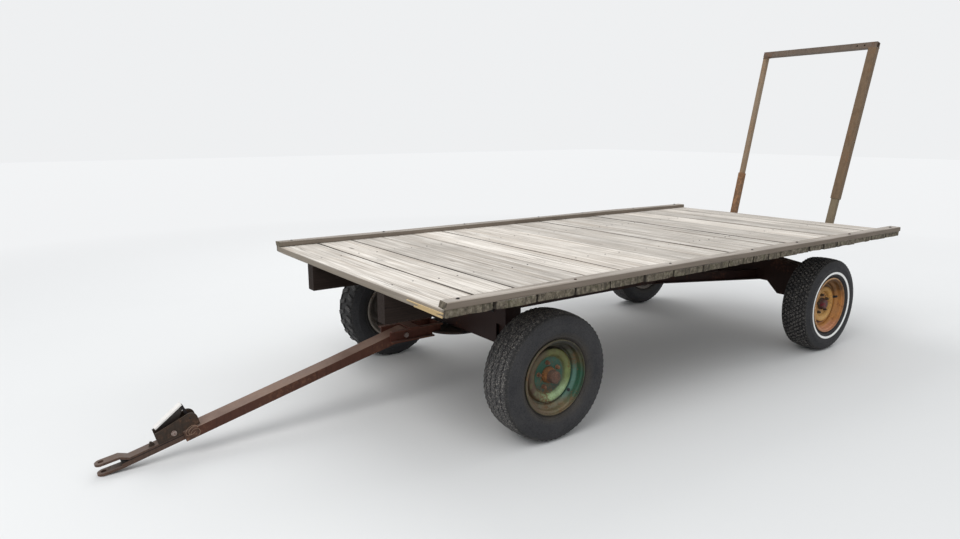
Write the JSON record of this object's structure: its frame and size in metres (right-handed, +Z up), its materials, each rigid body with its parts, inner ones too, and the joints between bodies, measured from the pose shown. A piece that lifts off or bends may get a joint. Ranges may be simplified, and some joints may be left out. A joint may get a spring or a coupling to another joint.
{
  "type": "hay wagon",
  "caption": "Flat plank hay wagon with steered front wheels, a drop tongue with a clevis hitch, and a leaning frame at the rear.",
  "frame": {"origin": "on the ground under the middle of the whole length, from the hitch tip to the back of the rear frame", "axes": "+X to the wagon's left, -Y forward towards the hitch, +Z up"},
  "size_m": [2.188, 6.0732, 2.38],
  "materials": {
    "dark_steel": "dark, rusty",
    "frame_steel": "brown rust",
    "hub_rust": "rust",
    "pin_steel": "worn bright",
    "rim_dark": "dark brown-grey",
    "rim_green": "faded green over rust",
    "rim_yellow": "yellow-orange with rust",
    "rusty_frame": "worn red-brown paint over rust",
    "stringer_wood": "old timber, dark",
    "stub_wood": "grey timber",
    "tyre_rubber": "dusty black",
    "weathered_planks": "bare, grey, weathered",
    "weathered_rails": "bare, dark grey, weathered",
    "white_paint": "chipped white"
  },
  "bodies": {
    "wagon": {"deck_planks": "weathered_planks", "side_rail_left": "weathered_rails", "side_rail_right": "weathered_rails", "stringer_left": "stringer_wood", "stringer_right": "stringer_wood", "front_bolster": "rusty_frame", "rear_bolster": "rusty_frame", "front_axle": "rusty_frame", "rear_axle": "rusty_frame", "reach_pole": "rusty_frame", "rear_hounds": "rusty_frame", "steering_pivot": "dark_steel", "post_stub_left": "stub_wood", "post_socket_right": "frame_steel", "rear_post_left": "frame_steel", "rear_post_right": "frame_steel", "post_bracket_left": "dark_steel", "post_bracket_right": "dark_steel", "top_bar": "frame_steel"},
    "steering_head": {"steering_plate": "dark_steel", "steering_pins": "dark_steel", "tongue_bracket": "rusty_frame", "tongue_pin": "pin_steel"},
    "tongue": {"tongue_tube": "rusty_frame", "hitch_bar": "rusty_frame", "hitch_strap_upper": "rusty_frame", "hitch_strap_lower": "rusty_frame", "tongue_collar": "dark_steel", "latch_housing": "dark_steel", "latch_bolt": "dark_steel", "latch_link": "dark_steel", "latch_pedal": "white_paint"},
    "tie_rod_left": {"tie_rod_left": "dark_steel"},
    "tie_rod_right": {"tie_rod_right": "dark_steel"},
    "knuckle_left": {"knuckle_left": "rusty_frame", "kingpin_left": "dark_steel"},
    "knuckle_right": {"knuckle_right": "rusty_frame", "kingpin_right": "dark_steel"},
    "wheel_front_left": {"tyre_front_left": "tyre_rubber", "rim_front_left": "rim_green", "hub_front_left": "hub_rust"},
    "wheel_front_right": {"tyre_front_right": "tyre_rubber", "rim_front_right": "rim_dark", "hub_front_right": "hub_rust"},
    "wheel_rear_left": {"tyre_rear_left": "tyre_rubber", "rim_rear_left": "rim_yellow", "hub_rear_left": "hub_rust"},
    "wheel_rear_right": {"tyre_rear_right": "tyre_rubber", "rim_rear_right": "rim_dark", "hub_rear_right": "hub_rust"}
  },
  "joints": [
    {"name": "steering", "type": "hinge", "parent": "wagon", "child": "steering_head", "pos_m": [0, -0.94741, 0.413], "axis": [0, 0, 1], "range_deg": [-30, 30]},
    {"name": "tongue_lift", "type": "hinge", "parent": "steering_head", "child": "tongue", "pos_m": [0, -1.33441, 0.435], "axis": [-1, 0, 0], "range_deg": [0, 32]},
    {"name": "tie_rod_left_swing", "type": "hinge", "parent": "steering_head", "child": "tie_rod_left", "pos_m": [0.035, -0.81741, 0.425], "axis": [0, 0, 1], "range_deg": [-30, 30]},
    {"name": "knuckle_left_turn", "type": "hinge", "parent": "wagon", "child": "knuckle_left", "pos_m": [0.72, -0.94741, 0.356], "axis": [0, 0, 1], "range_deg": [-30, 30]},
    {"name": "tie_rod_right_swing", "type": "hinge", "parent": "steering_head", "child": "tie_rod_right", "pos_m": [-0.035, -0.81741, 0.425], "axis": [0, 0, 1], "range_deg": [-30, 30]},
    {"name": "knuckle_right_turn", "type": "hinge", "parent": "wagon", "child": "knuckle_right", "pos_m": [-0.72, -0.94741, 0.356], "axis": [0, 0, 1], "range_deg": [-30, 30]},
    {"name": "wheel_front_left_spin", "type": "hinge", "parent": "knuckle_left", "child": "wheel_front_left", "pos_m": [0.905, -0.94741, 0.356], "axis": [1, 0, 0], "continuous": true},
    {"name": "wheel_front_right_spin", "type": "hinge", "parent": "knuckle_right", "child": "wheel_front_right", "pos_m": [-0.905, -0.94741, 0.356], "axis": [1, 0, 0], "continuous": true},
    {"name": "wheel_rear_left_spin", "type": "hinge", "parent": "wagon", "child": "wheel_rear_left", "pos_m": [0.905, 1.78659, 0.35], "axis": [1, 0, 0], "continuous": true},
    {"name": "wheel_rear_right_spin", "type": "hinge", "parent": "wagon", "child": "wheel_rear_right", "pos_m": [-0.905, 1.78659, 0.35], "axis": [1, 0, 0], "continuous": true}
  ],
  "couplings": [
    {"joint": "tie_rod_left_swing", "follows": "steering", "ratio": -1},
    {"joint": "knuckle_left_turn", "follows": "steering", "ratio": 1},
    {"joint": "tie_rod_right_swing", "follows": "steering", "ratio": -1},
    {"joint": "knuckle_right_turn", "follows": "steering", "ratio": 1}
  ]
}
